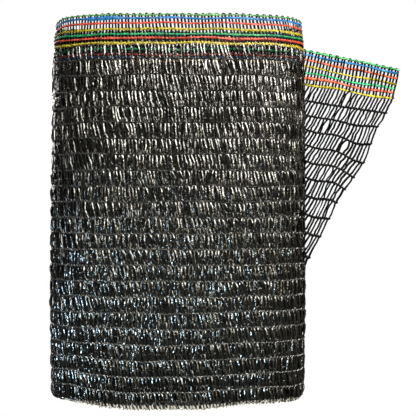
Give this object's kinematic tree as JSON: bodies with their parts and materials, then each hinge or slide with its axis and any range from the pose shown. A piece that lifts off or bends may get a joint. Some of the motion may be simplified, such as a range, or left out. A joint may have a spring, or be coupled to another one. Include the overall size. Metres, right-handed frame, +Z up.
{
  "type": "roll of shade cloth",
  "caption": "Upright flattened roll of black knitted shade net, folded lengthwise and wound, with a coloured selvedge along its top edge and one loose layer standing out at the back.",
  "frame": {"origin": "on the surface the roll stands on, under the middle of the whole object's box, loose end included", "axes": "+Z up along the roll's winding axis, +X to the side where the loose end stands out, +Y from the front face of the roll through its thickness to the back"},
  "size_m": [0.2792, 0.0874, 0.3],
  "materials": {
    "net_black": "knitted black polyethylene tape yarn with a soft gloss",
    "selvedge_green": "green polyethylene edge cord with a soft gloss",
    "selvedge_blue": "blue polyethylene edge cord with a soft gloss",
    "selvedge_red": "orange-red polyethylene edge cord with a soft gloss",
    "selvedge_yellow": "yellow polyethylene edge cord with a soft gloss"
  },
  "bodies": {
    "root": {"wound_roll": "net_black", "loose_end": "net_black"}
  },
  "joints": []
}
